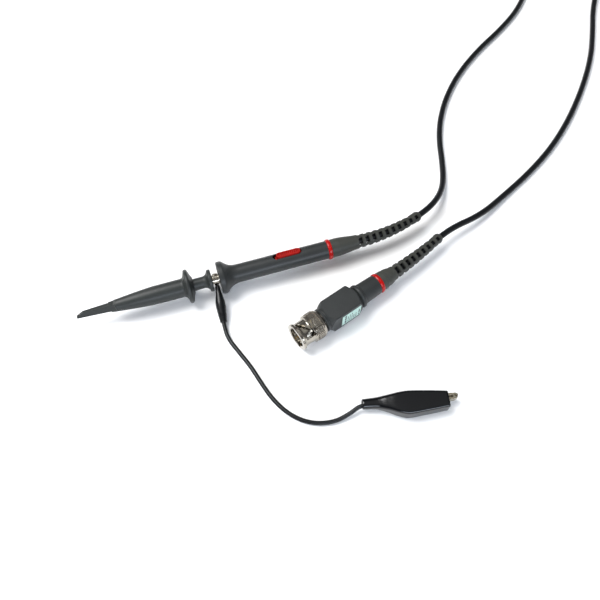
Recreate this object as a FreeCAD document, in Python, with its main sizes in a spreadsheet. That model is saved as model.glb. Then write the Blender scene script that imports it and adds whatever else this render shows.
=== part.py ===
"""Passive oscilloscope probe: probe head with a spring-loaded hook tip, a
ground lead with an insulated alligator clip, and a compensation box with a
BNC plug, joined by one coaxial cable.

All lengths are millimetres, +Z is up and the probe lies on the plane Z = 0.
The head's axis is parallel to X with the hook tip towards -X.  The box lies
beside it, its axis turned by box_turn about Z.
"""
import FreeCAD, Part
import Sketcher
import math
import os

Vec = FreeCAD.Vector
Rot = FreeCAD.Rotation
Pla = FreeCAD.Placement

doc = FreeCAD.newDocument("oscilloscope_probe")
sheet = doc.addObject("Spreadsheet::Sheet", "Dims")

# ---------------------------------------------------------------- dimensions
DIMS = [
    # where things lie
    ("shift_x", 93.98), ("shift_y", 20.215), ("head_z", 8.6), ("head_roll", -14.0),
    ("hook_roll", 67.0), ("box_x", 98.1), ("box_y", -42.4), ("box_z", 7.25),
    ("box_turn", 19.0), ("clip_x", 117.1), ("clip_y", -82.0), ("clip_z", 4.0),
    ("clip_turn", -12.8),
    # hook tip
    ("sleeve_rad", 4.67), ("sleeve_neck_rad", 3.05), ("flange_rad", 8.6),
    ("flange_x", 55.3), ("sleeve_bore", 3.10), ("core_rad", 3.02),
    ("beak_len", 17.2), ("hook_wire_rad", 0.42), ("core_flange_rad", 5.62),
    ("core_end_x", 67.3),
    # head
    ("barrel_rad", 2.40), ("guard_rad", 8.25), ("guard_x", 70.8),
    ("body_rad", 4.68), ("body_bore", 3.75), ("body_end_x", 127.6),
    ("slot_x", 106.8), ("slot_len", 15.3), ("slot_wide", 4.0),
    ("knob_x", 107.45), ("knob_len", 12.6), ("knob_wide", 3.4),
    ("knob_top", 5.15), ("ring_rad", 5.25), ("ring_wide", 2.1),
    # strain reliefs and cable
    ("relief_rad", 4.8), ("relief_end_rad", 2.45), ("relief_bore", 1.95),
    ("window_pitch", 3.72), ("window_long", 2.25), ("cable_dia", 3.3), ("lead_dia", 2.1),
    ("coil_x", 375.3), ("coil_y", 190.0), ("coil_mean", 18.0),
    # BNC plug
    ("rim_rad", 6.95), ("nut_rad", 6.1), ("knurl_rad", 7.25), ("nut_bore", 4.95), ("nut_len", 14.3),
    ("contact_rad", 4.05), ("pin_rad", 0.68),
    # compensation box
    ("box_side", 12.6), ("box_edge", 0.6), ("box_front_x", 20.0), ("box_rear_x", 36.9),
    ("collar_rad", 6.2), ("neck_rad", 5.05), ("box_ring_x", 50.5),
    # alligator clip
    ("clip_len", 39.3), ("jaw_pivot", 25.0), ("jaw_gauge", 0.45),
]
VAL = {}
for i, (key, num) in enumerate(DIMS):
    sheet.set("A%d" % (i + 1), key)
    sheet.set("B%d" % (i + 1), "%g" % num)
    sheet.setAlias("B%d" % (i + 1), key)
    VAL[key] = float(num)
doc.recompute()


class Q:
    """A length that knows its number and the sheet expression behind it."""

    def __init__(self, num, txt):
        self.num, self.txt = float(num), txt

    def __add__(self, o):
        o = quant(o)
        return Q(self.num + o.num, "(%s + %s)" % (self.txt, o.txt))

    __radd__ = __add__

    def __sub__(self, o):
        o = quant(o)
        return Q(self.num - o.num, "(%s - %s)" % (self.txt, o.txt))

    def __rsub__(self, o):
        return quant(o) - self

    def __mul__(self, o):
        o = quant(o)
        return Q(self.num * o.num, "(%s * %s)" % (self.txt, o.txt))

    __rmul__ = __mul__

    def __neg__(self):
        return Q(-self.num, "(0 - %s)" % self.txt)


def quant(x):
    return x if isinstance(x, Q) else Q(x, "%.6g" % x if x >= 0 else "(0 - %.6g)" % -x)


def D(key):
    return Q(VAL[key], "Dims." + key)


def bind(obj, prop, q):
    """Set a property and tie it to the sheet."""
    q = quant(q)
    obj.setExpression(prop, q.txt)


# ------------------------------------------------------------------ builders
NODES = []          # every exported sub-part


def head_place():
    return Pla(Vec(-VAL["shift_x"], VAL["shift_y"], VAL["head_z"]),
               Rot(Vec(1, 0, 0), VAL["head_roll"]))


def tail_place():
    """On the head's axis but not rolled with it."""
    return Pla(Vec(-VAL["shift_x"], VAL["shift_y"], VAL["head_z"]), Rot())


def hook_place():
    return Pla(Vec(-VAL["shift_x"], VAL["shift_y"], VAL["head_z"]),
               Rot(Vec(1, 0, 0), VAL["hook_roll"]))


def box_place():
    return Pla(Vec(VAL["box_x"] - VAL["shift_x"], VAL["box_y"] + VAL["shift_y"], VAL["box_z"]),
               Rot(Vec(0, 0, 1), VAL["box_turn"]))


def clip_place():
    return Pla(Vec(VAL["clip_x"] - VAL["shift_x"], VAL["clip_y"] + VAL["shift_y"], VAL["clip_z"]),
               Rot(Vec(0, 0, 1), VAL["clip_turn"]))


def floor_place():
    return Pla(Vec(-VAL["shift_x"], VAL["shift_y"], 0), Rot())


PLACES = {"head": head_place, "tail": tail_place, "hook": hook_place, "box": box_place,
          "clip": clip_place, "floor": floor_place}
BASE = {"head": ("0 - Dims.shift_x", "Dims.shift_y", "Dims.head_z"),
        "tail": ("0 - Dims.shift_x", "Dims.shift_y", "Dims.head_z"),
        "hook": ("0 - Dims.shift_x", "Dims.shift_y", "Dims.head_z"),
        "box": ("Dims.box_x - Dims.shift_x", "Dims.box_y + Dims.shift_y", "Dims.box_z"),
        "clip": ("Dims.clip_x - Dims.shift_x", "Dims.clip_y + Dims.shift_y", "Dims.clip_z"),
        "floor": ("0 - Dims.shift_x", "Dims.shift_y", "0")}


def settle(obj, label, where, inner=None):
    """Give a finished sub-part its label and its place in the common frame."""
    obj.Label = label
    base = PLACES[where]()
    place = base if inner is None else base.multiply(inner)
    obj.Placement = place
    for axis, txt in zip("xyz", BASE[where]):
        off = getattr(place.Base, axis) - getattr(base.Base, axis)
        obj.setExpression("Placement.Base." + axis, txt if abs(off) < 1e-9 else "(%s) + %s" % (txt, quant(off).txt))
    NODES.append((label, obj))
    return obj


def plane_of(body, role):
    for f in body.Origin.OriginFeatures:
        if f.Role == role:
            return f
    raise RuntimeError("no plane " + role)


def new_body(name):
    return doc.addObject("PartDesign::Body", name)


def profile(body, role, loops, offset=None):
    """A sketch of closed loops.  Each loop is a list of (x, y) vertices, or
    (x, y, (mx, my)) where the side arriving at the vertex is an arc through m."""
    sk = body.newObject("Sketcher::SketchObject", body.Name + "_sketch")
    sk.AttachmentSupport = [(plane_of(body, role), "")]
    sk.MapMode = "FlatFace"
    if offset is not None:
        offset = quant(offset)
        sk.AttachmentOffset = Pla(Vec(0, 0, offset.num), Rot())
        sk.setExpression("AttachmentOffset.Base.z", offset.txt)
    n = 0
    for loop in loops:
        pts = [(quant(v[0]), quant(v[1])) for v in loop]
        ids = []
        for k in range(len(loop)):
            a, b = pts[k - 1], pts[k]
            pa, pb = Vec(a[0].num, a[1].num, 0), Vec(b[0].num, b[1].num, 0)
            if len(loop[k]) > 2:
                m = loop[k][2]
                g = sk.addGeometry(Part.Arc(pa, Vec(m[0], m[1], 0), pb), False)
                geo = sk.Geometry[g]
                first = 1 if geo.StartPoint.distanceToPoint(pa) < 1e-6 else 2
                ids.append((g, first, 3 - first, geo.Radius))
            else:
                g = sk.addGeometry(Part.LineSegment(pa, pb), False)
                ids.append((g, 1, 2, None))
        for k in range(len(loop)):
            g, s, e, rad = ids[k]
            nxt = ids[(k + 1) % len(loop)]
            sk.addConstraint(Sketcher.Constraint("Coincident", g, e, nxt[0], nxt[1]))
            for q, kind, ref in ((pts[k][0], "DistanceX", -2), (pts[k][1], "DistanceY", -1)):
                if abs(q.num) < 1e-9:
                    sk.addConstraint(Sketcher.Constraint("PointOnObject", g, e, ref))
                else:
                    c = sk.addConstraint(Sketcher.Constraint(kind, -1, 1, g, e, q.num))
                    nm = "%s%d" % ("px" if kind == "DistanceX" else "py", n)
                    sk.renameConstraint(c, nm)
                    sk.setExpression("Constraints." + nm, q.txt)
                n += 1
            if rad is None:
                continue
            pa, pb = pts[k - 1], pts[k]
            wide, tall = abs(pa[0].num - pb[0].num), abs(pa[1].num - pb[1].num)
            if wide < 1e-9 and abs(tall - 2 * rad) < 1e-6:
                # half circle on an upright chord: its centre is level with the chord
                c = sk.addConstraint(Sketcher.Constraint("DistanceX", -1, 1, g, 3, pb[0].num))
                sk.renameConstraint(c, "cx%d" % n)
                sk.setExpression("Constraints.cx%d" % n, pb[0].txt)
            else:
                sk.addConstraint(Sketcher.Constraint("Radius", g, rad))
    return sk


def revolve(body, loop, role="XY_Plane"):
    sk = profile(body, role, [loop])
    feat = body.newObject("PartDesign::Revolution", body.Name + "_turned")
    feat.Profile = sk
    feat.ReferenceAxis = (sk, ["H_Axis"])
    feat.Angle = 360.0
    doc.recompute()
    return feat


def pad(body, role, loops, length, sym=True, offset=None):
    sk = profile(body, role, loops, offset)
    feat = body.newObject("PartDesign::Pad", body.Name + "_pad")
    feat.Profile = sk
    length = quant(length)
    feat.Length = length.num
    feat.setExpression("Length", length.txt)
    feat.Midplane = sym
    doc.recompute()
    return feat


def pocket(body, role, loops, length, sym=True, offset=None, rev=False):
    before = body.Shape.Volume
    sk = profile(body, role, loops, offset)
    feat = body.newObject("PartDesign::Pocket", body.Name + "_pocket")
    feat.Profile = sk
    length = quant(length)
    feat.Length = length.num
    feat.setExpression("Length", length.txt)
    feat.Midplane = sym
    feat.Reversed = rev
    doc.recompute()
    if not body.Shape.Volume < before - 1e-6:
        raise RuntimeError("pocket removed nothing in " + body.Name)
    return feat


def rect(x0, x1, y0, y1):
    return [(x0, y0), (x1, y0), (x1, y1), (x0, y1)]


def stadium(cx, cy, length, wide):
    """Slot outline along x with round ends."""
    cx, cy, length, wide = quant(cx), quant(cy), quant(length), quant(wide)
    hl, r = (length - wide) * 0.5, wide * 0.5
    return [(cx + hl, cy - r), (cx + hl, cy + r, ((cx + hl + r).num, cy.num)),
            (cx - hl, cy + r), (cx - hl, cy - r, ((cx - hl - r).num, cy.num))]


def own(shape, label, where):
    """A sub-part whose shape is worked out with Part's functions."""
    f = doc.addObject("Part::Feature", label)
    inner = Pla(shape.Placement)
    f.Shape = shape
    return settle(f, label, where, inner)


def cyl(x0, x1, r, y=0.0, z=0.0):
    return Part.makeCylinder(r, x1 - x0, Vec(x0, y, z), Vec(1, 0, 0))


def block(x0, x1, y0, y1, z0, z1):
    return Part.makeBox(x1 - x0, y1 - y0, z1 - z0, Vec(x0, y0, z0))


# ----------------------------------------------------------------- hook tip
# The local x of the head and the hook starts at the beak's tip.
fx = D("flange_x")
b = new_body("hook_sleeve")
sr, nr, fr, bore = D("sleeve_rad"), D("sleeve_neck_rad"), D("flange_rad"), D("sleeve_bore")
swell = []
for i in range(1, 14):
    t = i / 13.0
    g = t * (1 - t) ** 2 * 22.4 * 0.093 + t * t * (3 - 2 * t) * (VAL["sleeve_rad"] - VAL["sleeve_neck_rad"])
    swell.append((19.1 + 22.4 * t, nr + g))
revolve(b, [(0.0, 0.55), (0.0, 1.75), (16.6, 2.72), (19.1, nr)] + swell + [
    (fx - 3.2, sr), (fx - 2.75, sr + 0.06), (fx - 2.35, sr + 0.25), (fx - 2.05, sr + 0.55), (fx - 1.8, sr + 1.0),
    (fx - 1.35, sr + 2.2), (fx - 1.05, fr - 0.75), (fx - 0.85, fr - 0.35), (fx - 0.55, fr - 0.1), (fx - 0.2, fr),
    (fx + 0.2, fr), (fx + 0.55, fr - 0.1), (fx + 0.85, fr - 0.35), (fx + 1.05, fr - 0.75), (fx + 1.5, sr + 1.9),
    (fx + 1.95, sr + 0.6), (fx + 2.35, sr - 0.2), (fx + 2.6, sr - 0.75), (fx + 2.6, bore), (28.4, bore), (27.4, 2.0),
    (27.4, 0.55)])
# flats that make the beak, each ending in a scooped shoulder
bl = D("beak_len")
for role, tip, base in (("XZ_Plane", 0.66, 1.50), ("XY_Plane", 1.32, 1.82)):
    for s in (1.0, -1.0):
        pocket(b, role, [[(-1.0, s * (tip - 0.04)), (bl, s * base),
                          (bl + 2.1, s * 3.6, (bl.num + 1.72, s * 2.35)), (-1.0, s * 3.6)]], 12.0)
# slanting cut at the beak's end, and the side gap that the hook's point sits in
pocket(b, "XY_Plane", [[(-1.0, -0.85), (4.0, 1.75), (4.0, 3.0), (-1.0, 3.0)]], 12.0)
pocket(b, "XY_Plane", [rect(-1.0, 2.6, -3.0, 0.0)], 0.95)
settle(b, "hook_sleeve", "hook")

b = new_body("hook_core")
cr, cf, ce = D("core_rad"), D("core_flange_rad"), D("core_end_x")
revolve(b, [
    (41.3, 0.5), (41.3, cr - 0.3), (41.6, cr), (ce - 4.6, cr),
    (ce - 1.9, cf - 0.4, (ce.num - 2.75, cf.num - 1.95)), (ce - 1.7, cf - 0.12), (ce - 1.4, cf),
    (ce - 0.5, cf), (ce - 0.17, cf - 0.12), (ce, cf - 0.4), (ce, 2.45), (53.6, 2.45), (53.6, 1.25), (44.0, 1.25), (44.0, 0.5)])
settle(b, "hook_core", "hook")

# sprung hook wire: a straight shank bent into a small hook at the tip
r = VAL["hook_wire_rad"]
path = [Vec(47.0, 0, 0), Vec(1.95, 0, 0)]
e1 = Part.LineSegment(path[0], path[1]).toShape()
e2 = Part.Arc(path[1], Vec(1.95 - 0.62, -0.62, 0), Vec(1.95, -1.24, 0)).toShape()
e3 = Part.LineSegment(Vec(1.95, -1.24, 0), Vec(2.35, -1.24, 0)).toShape()
w = Part.Wire([e1, e2, e3])
circ = Part.Wire([Part.Circle(path[0], Vec(1, 0, 0), r).toShape()])
own(w.makePipeShell([circ], True, False), "hook_wire", "hook")

b = new_body("tip_socket")
revolve(b, [(47.2, 0.0), (47.2, 1.2), (53.4, 1.2), (53.4, 0.56), (48.4, 0.56), (48.4, 0.0)])
settle(b, "tip_socket", "hook")


def spring(x0, x1, radius, wire, turns):
    """Closed-ended compression spring as a helix about x."""
    pitch = (x1 - x0 - wire) / turns
    h = Part.makeHelix(pitch, pitch * turns, radius)
    prof = Part.Wire([Part.Circle(Vec(radius, 0, 0), Vec(0, 1, 0), wire / 2).toShape()])
    s = Part.Wire(h).makePipeShell([prof], True, True)
    s.rotate(Vec(0, 0, 0), Vec(0, 1, 0), 90)
    s.translate(Vec(x0 + wire / 2, 0, 0))
    return s


own(spring(28.7, 41.0, 2.35, 0.5, 7), "hook_spring", "hook")

# --------------------------------------------------------------------- head
b = new_body("needle_tip")
revolve(b, [(49.2, 0.0), (50.6, 0.5), (82.0, 0.5), (82.0, 0.0)])
settle(b, "needle_tip", "head")

b = new_body("nose_insulator")
revolve(b, [(54.2, 0.53), (54.2, 1.3), (55.0, 1.9), (80.0, 1.9), (80.0, 0.53)])
settle(b, "nose_insulator", "head")

b = new_body("ground_barrel")
br = D("barrel_rad")
revolve(b, [(57.4, 1.93), (57.4, br - 0.15), (57.6, br), (79.0, br), (79.0, 1.93)])
settle(b, "ground_barrel", "head")

b = new_body("probe_body")
gx, gr, bd, bb, be = D("guard_x"), D("guard_rad"), D("body_rad"), D("body_bore"), D("body_end_x")
revolve(b, [
    (gx, br + 0.03), (gx, gr - 0.6), (gx + 0.1, gr - 0.3), (gx + 0.3, gr - 0.1), (gx + 0.6, gr), (gx + 2.2, gr),
    (gx + 2.55, gr - 0.08), (gx + 2.9, gr - 0.27), (gx + 3.3, gr - 0.6), (gx + 4.1, gr - 1.38), (gx + 4.9, gr - 2.05),
    (gx + 5.7, gr - 2.58), (gx + 6.5, gr - 2.98), (gx + 7.4, gr - 3.28), (gx + 8.4, gr - 3.46), (gx + 9.6, bd), (be, bd),
    (be, 4.32), (be + 1.05, 4.32), (be + 1.05, bb), (80.4, bb), (79.2, br + 0.03)])
pocket(b, "XY_Plane", [stadium(D("slot_x"), 0.0, D("slot_len"), D("slot_wide"))], 4.0, False, 2.2, True)
# shallow position marks moulded at each end of the slot
pocket(b, "XY_Plane", [rect(95.8, 96.3, -0.9, 0.9)], 1.0, False, bd - 0.18, True)
pocket(b, "XY_Plane", [rect(117.2, 117.7, -0.9, 0.9)], 1.0, False, bd - 0.18, True)
pocket(b, "XY_Plane", [rect(118.5, 119.0, -0.9, 0.9)], 1.0, False, bd - 0.18, True)
settle(b, "probe_body", "head")

# slide switch: thumb piece with a recessed, ribbed top and a retaining foot
b = new_body("range_switch")
kx, kl, kw, kt = D("knob_x"), D("knob_len"), D("knob_wide"), D("knob_top")
pad(b, "XY_Plane", [stadium(kx, 0.0, kl, kw)], kt - 2.5, False, 2.5)
pad(b, "XY_Plane", [rect(kx - 6.9, kx + 6.9, -2.3, 2.3)], 0.75, False, 1.85)
pocket(b, "XY_Plane", [stadium(kx, 0.0, kl - 1.3, kw - 1.3)], 1.0, False, kt - 0.45, True)
for i in range(9):
    x = kx - 4.0 + i * 1.0
    pad(b, "XY_Plane", [rect(x - 0.22, x + 0.22, -1.1, 1.1)], 0.42, False, kt - 0.47)
settle(b, "range_switch", "head")

b = new_body("switch_wiper")
pad(b, "XZ_Plane", [[(kx - 4.5, 1.80), (kx - 4.5, 1.60), (kx - 1.2, 1.60), (kx, 1.05),
                     (kx + 1.2, 1.60), (kx + 4.5, 1.60), (kx + 4.5, 1.80), (kx + 1.1, 1.80),
                     (kx, 1.28), (kx - 1.1, 1.80)]], 1.6)
settle(b, "switch_wiper", "head")

b = new_body("attenuator_board")
pad(b, "XY_Plane", [rect(83.0, 120.8, -3.2, 3.2)], 0.9, False, -0.1)
settle(b, "attenuator_board", "head")


def leaded(x0, x1, r, z, lead):
    """Axial part: a body with rounded shoulders and a lead at each end."""
    s = cyl(x0, x1, r, 0, z)
    s = s.makeFillet(r * 0.4, [e for e in s.Edges if e.Curve.TypeId == "Part::GeomCircle"])
    return s.fuse(cyl(x0 - lead, x1 + lead, 0.22, 0, z)).removeSplitter()


own(leaded(86.5, 93.0, 1.0, -1.35, 1.8), "tip_resistor", "head")
own(leaded(97.0, 103.0, 0.8, -1.15, 1.5), "damping_resistor", "head")

b = new_body("tip_capacitor")
pad(b, "XY_Plane", [rect(85.5, 89.0, -1.2, 1.2)], 1.1, False, 0.85)
settle(b, "tip_capacitor", "head")

b = new_body("head_ferrule")
revolve(b, [(121.1, 1.62), (121.1, 2.5), (121.9, 2.5), (121.9, 2.05), (124.8, 2.05), (124.8, 1.62)])
settle(b, "head_ferrule", "head")


def coding_ring(label, where, x):
    b = new_body(label)
    rr, rw = D("ring_rad"), D("ring_wide")
    x = quant(x)
    hw = rw * 0.5
    revolve(b, [(x - hw, 4.35), (x - hw, rr - 0.55), (x - hw + 0.16, rr - 0.17), (x - hw + 0.55, rr),
                (x + hw - 0.55, rr), (x + hw - 0.16, rr - 0.17), (x + hw, rr - 0.55), (x + hw, 4.35)])
    settle(b, label, where)


coding_ring("head_coding_ring", "head", be + 1.1)


def relief(x0, straight, bend, side, first, count, inner_x, inner_r, row_turn):
    """Moulded cable strain relief.

    It starts at x0, runs straight for a length, then bends in an arc of radius
    bend towards +y (side = 1); four rows of windows are cut round it.  inner_x
    and inner_r are the spigot that reaches forward into the housing.
    """
    r0, r1 = VAL["relief_rad"], VAL["relief_end_rad"]
    pitch = VAL["window_pitch"]
    last = first + pitch * (count - 1) + 3.0

    def at(s):
        if s <= straight:
            return Vec(x0 + s, 0, 0), Vec(1, 0, 0)
        a = (s - straight) / bend
        return (Vec(x0 + straight + bend * math.sin(a), side * bend * (1 - math.cos(a)), 0),
                Vec(math.cos(a), side * math.sin(a), 0))

    knots = [(0.0, r0), (first * 0.25, r0), (first * 0.44, r0 - 0.28), (first * 0.63, r0 - 0.66),
             (first - 2.2, 3.75), (first, 3.62)]
    n = 8
    for i in range(1, n + 1):
        f = i / n
        knots.append((first + (last - 0.5 - first) * f, 3.62 + (r1 - 3.62) * f))
    knots.append((last, r1 - 0.35))
    wires = []
    for s, r in knots:
        p, d = at(s)
        wires.append(Part.Wire([Part.Circle(p, d, r).toShape()]))
    outer = Part.makeLoft(wires[:2], True)
    outer = outer.fuse(Part.makeLoft(wires[1:], True))
    outer = outer.fuse(cyl(inner_x, x0 + 0.2, inner_r))
    # bore that follows the bend
    pa, da = at(straight)
    pb, db = at(last + 1.0)
    pm, dm = at((straight + last + 1.0) / 2)
    spine = Part.Wire([Part.LineSegment(Vec(inner_x - 1, 0, 0), pa).toShape(), Part.Arc(pa, pm, pb).toShape()])
    prof = Part.Wire([Part.Circle(Vec(inner_x - 1, 0, 0), Vec(1, 0, 0), VAL["relief_bore"]).toShape()])
    outer = outer.cut(spine.makePipeShell([prof], True, False))
    cuts = []
    for i in range(count):
        s = first + pitch * i
        p, d = at(s)
        f = i / (count - 1.0)
        wide = 3.7 + (2.1 - 3.7) * f
        gap = VAL["window_long"] * (1.0 - 0.1 * f)
        rot = Rot(Vec(1, 0, 0), d)
        pair = []
        for turn in (row_turn, row_turn + 90):
            bx = Part.makeBox(gap, 14.0, wide, Vec(-gap / 2, -7.0, -wide / 2))
            bx.Placement = Pla(p, rot.multiply(Rot(Vec(1, 0, 0), turn)))
            pair.append(bx)
        cuts.append(pair[0].fuse(pair[1]).removeSplitter())
    outer = outer.cut(cuts)
    return outer, at


shape, head_at = relief(129.75, 17.05, 100.0, 1.0, 15.9, 10, 125.0, 3.7, 29.0)
own(shape, "head_strain_relief", "tail")
shape, box_at = relief(51.6, 8.9, 250.0, 1.0, 10.6, 9, 46.5, 3.7, 20.0)
own(shape, "box_strain_relief", "box")


# ---------------------------------------------------------------- ground lead
# The ring clip snaps on the barrel between the hook's rear flange and the
# finger guard; its lug points sideways and down towards the plane.
LUG_X, LUG_TILT = 69.0, 197.0
cu, su = math.cos(math.radians(LUG_TILT)), math.sin(math.radians(LUG_TILT))


def lug_pt(t, x=None):
    """Point at distance t from the head's axis along the lug."""
    return Vec(LUG_X - 0.095 * (t - 3.6) if x is None else x, cu * t, su * t)


ring = cyl(67.9, 70.3, 3.0).cut(cyl(67.0, 71.5, 2.46))
gap = block(67.0, 71.5, -0.7, 0.7, 1.5, 4.0)
ring = ring.cut(gap)
lug = Part.makeBox(1.1, 4.6, 0.45, Vec(-0.55, 2.75, -0.225))
lug.Placement = Pla(Vec(LUG_X, 0, 0), Rot(Vec(1, 0, 0), LUG_TILT - 90.0).multiply(Rot(Vec(0, 0, 1), 5.4)))
own(ring.fuse(lug).removeSplitter(), "ground_ring_clip", "tail")

knots = [(3.25, 0.95), (6.0, 1.3), (9.0, 1.8), (11.5, 2.28), (14.0, 2.4), (17.0, 2.24), (19.5, 2.0), (22.3, 1.75)]
axis = (lug_pt(22.0) - lug_pt(4.0)).normalize()
boot = Part.makeLoft([Part.Wire([Part.Circle(lug_pt(t), axis, r).toShape()]) for t, r in knots], True)
bore = Part.makeCylinder(1.12, 12.5, lug_pt(11.0), axis)
slot = Part.makeBox(1.4, 5.8, 0.75, Vec(-0.7, 2.6, -0.375))
slot.Placement = lug.Placement
boot = boot.cut(bore).cut(slot)
grooves = []
for i in range(4):
    for k in range(4):
        a = math.radians(45 + 90 * k)
        side = axis.cross(Vec(1, 0, 0)).normalize()
        up = axis.cross(side).normalize()
        p = lug_pt(14.6 + 1.9 * i) + side * (2.45 * math.cos(a)) + up * (2.45 * math.sin(a))
        grooves.append(Part.makeSphere(0.62, p))
boot = boot.cut(Part.makeCompound(grooves))
own(boot, "ground_lead_boot", "tail")

SHIFT = Vec(0, 0, 0)


def tube(points, dia, label, check=True):
    """A cord's stretch: straight runs joined by tangent arcs, each arc as
    large as its two runs allow."""
    pts = [Vec(*p) for p in points]
    edges, last, radii = [], pts[0], []
    for i in range(1, len(pts) - 1):
        a, b, c = pts[i - 1], pts[i], pts[i + 1]
        u, v = (b - a), (c - b)
        lu, lv = u.Length, v.Length
        u.normalize()
        v.normalize()
        turn = u.getAngle(v)
        cutb = 0.45 * min(lu, lv)
        rad = cutb / math.tan(turn / 2)
        p, q = b - u * cutb, b + v * cutb
        mid = (v - u)
        mid.normalize()
        m = b + mid * (rad / math.cos(turn / 2) - rad)
        edges.append(Part.LineSegment(last, p).toShape())
        edges.append(Part.Arc(p, m, q).toShape())
        last = q
        radii.append(round(rad, 1))
    edges.append(Part.LineSegment(last, pts[-1]).toShape())
    wire = Part.Wire(edges)
    d = (pts[1] - pts[0]).normalize()
    prof = Part.Wire([Part.Circle(pts[0], d, dia / 2).toShape()])
    solid = wire.makePipeShell([prof], True, False)
    want = math.pi * dia * dia / 4 * wire.Length
    print(label, "length %.1f" % wire.Length, "volume ratio %.4f" % (solid.Volume / want), "radii", radii)
    if abs(solid.Volume / want - 1) > 0.02:
        raise RuntimeError("bad tube " + label)
    return own(solid, label, "floor"), wire.Length


LEAD = [(67.8, -14.3, 4.35), (67.05, -21.8, 2.1), (67.0, -29.8, 1.1), (70.2, -38.3, 1.1),
        (73.8, -47.5, 1.1), (76.2, -56.8, 1.1), (79.2, -66.6, 1.1), (84.4, -75.8, 1.1),
        (92.2, -82.5, 1.1), (102.3, -85.3, 1.2), (110.6, -84.0, 2.3), (116.6, -82.0, 3.9),
        (122.2, -83.15, 4.0)]
tube(LEAD, VAL["lead_dia"], "ground_lead")


def rr_wire(s, w0, w1, z0, z1, r):
    """Rounded rectangle standing across the x axis at x = s."""
    r = min(r, (w1 - w0) / 2 - 0.02, (z1 - z0) / 2 - 0.02)
    e = []
    cs = [(w1 - r, z1 - r, 0), (w0 + r, z1 - r, 90), (w0 + r, z0 + r, 180), (w1 - r, z0 + r, 270)]
    pts = []
    for cy, cz, a0 in cs:
        tri = []
        for a in (a0, a0 + 45, a0 + 90):
            t = math.radians(a)
            tri.append(Vec(s, cy + r * math.cos(t), cz + r * math.sin(t)))
        pts.append(tri)
    for i in range(4):
        e.append(Part.Arc(pts[i][0], pts[i][1], pts[i][2]).toShape())
        e.append(Part.LineSegment(pts[i][2], pts[(i + 1) % 4][0]).toShape())
    return Part.Wire(e)


CL = VAL["clip_len"]
SEC = [(0.0, -2.3, 2.4, 2.3, 2.2), (6.0, -2.6, 2.6, 2.55, 2.2), (11.5, -4.1, 3.1, 3.25, 2.2),
       (16.3, -6.1, 3.7, 3.8, 2.4), (20.5, -7.2, 4.05, 3.95, 2.5), (30.0, -6.3, 3.5, 3.85, 2.3),
       (CL, -5.1, 2.6, 3.6, 2.0)]
outer = Part.makeLoft([rr_wire(s, a, c, -h, h, r) for s, a, c, h, r in SEC], True)
inn = [(s, a + 0.7, c - 0.7, h - 0.7, max(r - 0.7, 0.5)) for s, a, c, h, r in SEC]
inn[0] = (-0.4,) + inn[0][1:]
inn[-1] = (CL + 0.4,) + inn[-1][1:]
inner = Part.makeLoft([rr_wire(s, a, c, -h, h, r) for s, a, c, h, r in inn], True)
own(outer.cut(inner), "clip_boot", "clip")

JG = VAL["jaw_gauge"]
PS, PW = VAL["jaw_pivot"], -0.5


def prism(pts, z0, z1):
    w = Part.makePolygon([Vec(a, c, z0) for a, c in pts] + [Vec(pts[0][0], pts[0][1], z0)])
    return Part.Face(w).extrude(Vec(0, 0, z1 - z0))


teeth_hi = [(43.9, 0.1)]
teeth_lo = [(43.9, -0.12)]
for i in range(5):
    x = 43.2 - 1.5 * i
    teeth_hi += [(x - 0.75, 0.62), (x - 1.5, 0.1)]
    teeth_lo += [(x - 0.75, -0.62), (x - 1.5, -0.12)]
hi = [(13.0, 1.7), (18.0, 2.6), (24.0, 2.75), (30.0, 2.35), (38.0, 1.55), (43.0, 1.5), (43.9, 0.9)]
hi += teeth_hi + [(30.0, 0.1), (27.4, -1.7), (22.6, -1.7), (20.5, 0.4), (13.0, 0.3)]
fixed = prism(hi, -2.3, 2.3)
hollow = [(10.0, 0.9), (13.0, 1.7 - JG), (18.0, 2.6 - JG), (24.0, 2.75 - JG), (30.0, 2.35 - JG),
          (38.0, 1.55 - JG), (42.4, 1.5 - JG), (42.4, -3.0), (10.0, -3.0)]
fixed = fixed.cut(prism(hollow, -1.85, 1.85))
fixed = fixed.fuse(prism([(6.0, 1.2), (13.2, 1.35), (14.0, 1.7), (13.2, 1.8), (6.0, 1.65)], -0.9, 0.9))
fixed = fixed.cut(Part.makeCylinder(0.83, 8, Vec(PS, PW, -4)))
own(fixed.removeSplitter(), "clip_fixed_jaw", "clip")

lo = [(15.5, -4.3), (19.5, -5.9), (22.5, -5.8), (30.0, -3.9), (38.0, -1.9), (42.9, -0.95), (43.9, -0.5)]
lo += teeth_lo + [(30.0, -0.12), (27.3, 0.9), (22.7, 0.9), (20.5, -2.0), (15.8, -3.4)]
moving = prism(lo, -1.65, 1.65)
hollow = [(13.0, -3.6), (15.5, -4.3 + JG), (19.5, -5.9 + JG), (22.5, -5.8 + JG), (30.0, -3.9 + JG),
          (38.0, -1.9 + JG), (42.2, -1.0 + JG), (42.2, 3.0), (13.0, 3.0)]
moving = moving.cut(prism(hollow, -1.2, 1.2))
moving = moving.cut(Part.makeCylinder(0.85, 8, Vec(PS, PW, -4)))
own(moving.removeSplitter(), "clip_moving_jaw", "clip")

pin = Part.makeCylinder(0.8, 5.3, Vec(PS, PW, -2.65))
for z in (-2.75, 2.35):
    pin = pin.fuse(Part.makeCylinder(1.2, 0.4, Vec(PS, PW, z)))
own(pin.removeSplitter(), "clip_pivot_pin", "clip")
coil = Part.makeTorus(1.25, 0.24, Vec(PS, PW, -0.72))
for z in (-0.24, 0.24, 0.72):
    coil = coil.fuse(Part.makeTorus(1.25, 0.25, Vec(PS, PW, z)))
own(coil, "clip_spring", "clip")

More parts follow.
